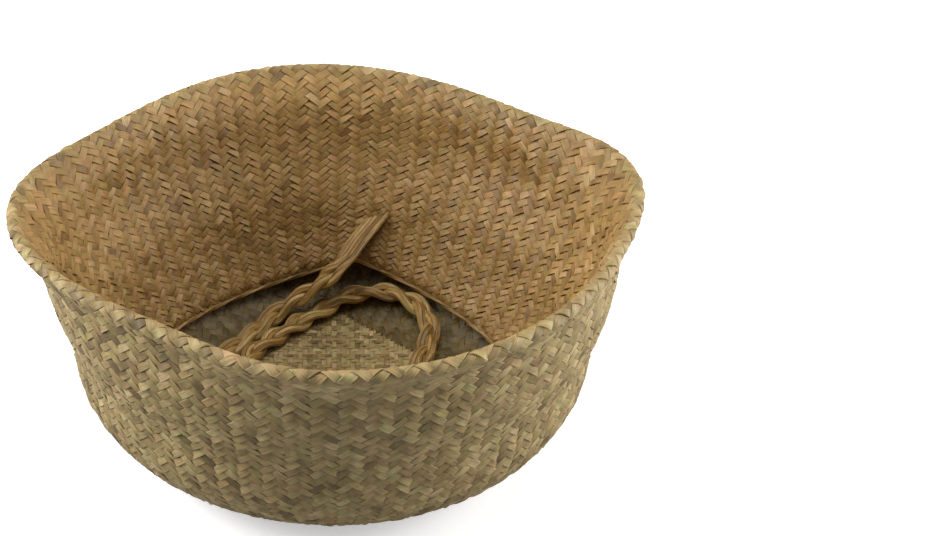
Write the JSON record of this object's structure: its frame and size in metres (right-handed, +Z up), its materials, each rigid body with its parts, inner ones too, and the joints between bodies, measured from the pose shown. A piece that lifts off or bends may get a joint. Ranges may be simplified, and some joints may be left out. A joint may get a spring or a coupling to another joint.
{
  "type": "folded belly basket",
  "caption": "Soft plaited sedge storage basket with a round bottom, its upper wall folded down inside and a plaited rope handle lying on its floor.",
  "frame": {"origin": "on the resting surface, under the middle of the rim's square", "axes": "+Z up out of the bowl; the rim's four soft corners lie on the diagonals between X and Y"},
  "size_m": [0.3137, 0.3197, 0.134],
  "materials": {
    "plaited_sedge_floor": "flat sedge strips plaited two over two, olive brown, dull",
    "plaited_sedge_outside": "flat sedge strips plaited two over two, weathered straw with a green cast, satin",
    "plaited_sedge_inside": "flat sedge strips plaited two over two, warm golden brown, satin",
    "sedge_rope": "three-strand plait of flat sedge strands, brown tan, satin"
  },
  "bodies": {
    "basket": {"base_mat": "plaited_sedge_floor", "outer_wall": "plaited_sedge_outside", "inner_wall": "plaited_sedge_inside"},
    "opening": {"mouth_border": "plaited_sedge_inside", "handle_knot_back": "sedge_rope", "handle_knot_front": "sedge_rope", "handle_rope": "sedge_rope"}
  },
  "joints": [
    {"name": "unfold", "type": "slide", "parent": "basket", "child": "opening", "axis": [0, 0, 1], "range_m": [0, 0.234], "deforming": ["inner_wall"]}
  ]
}
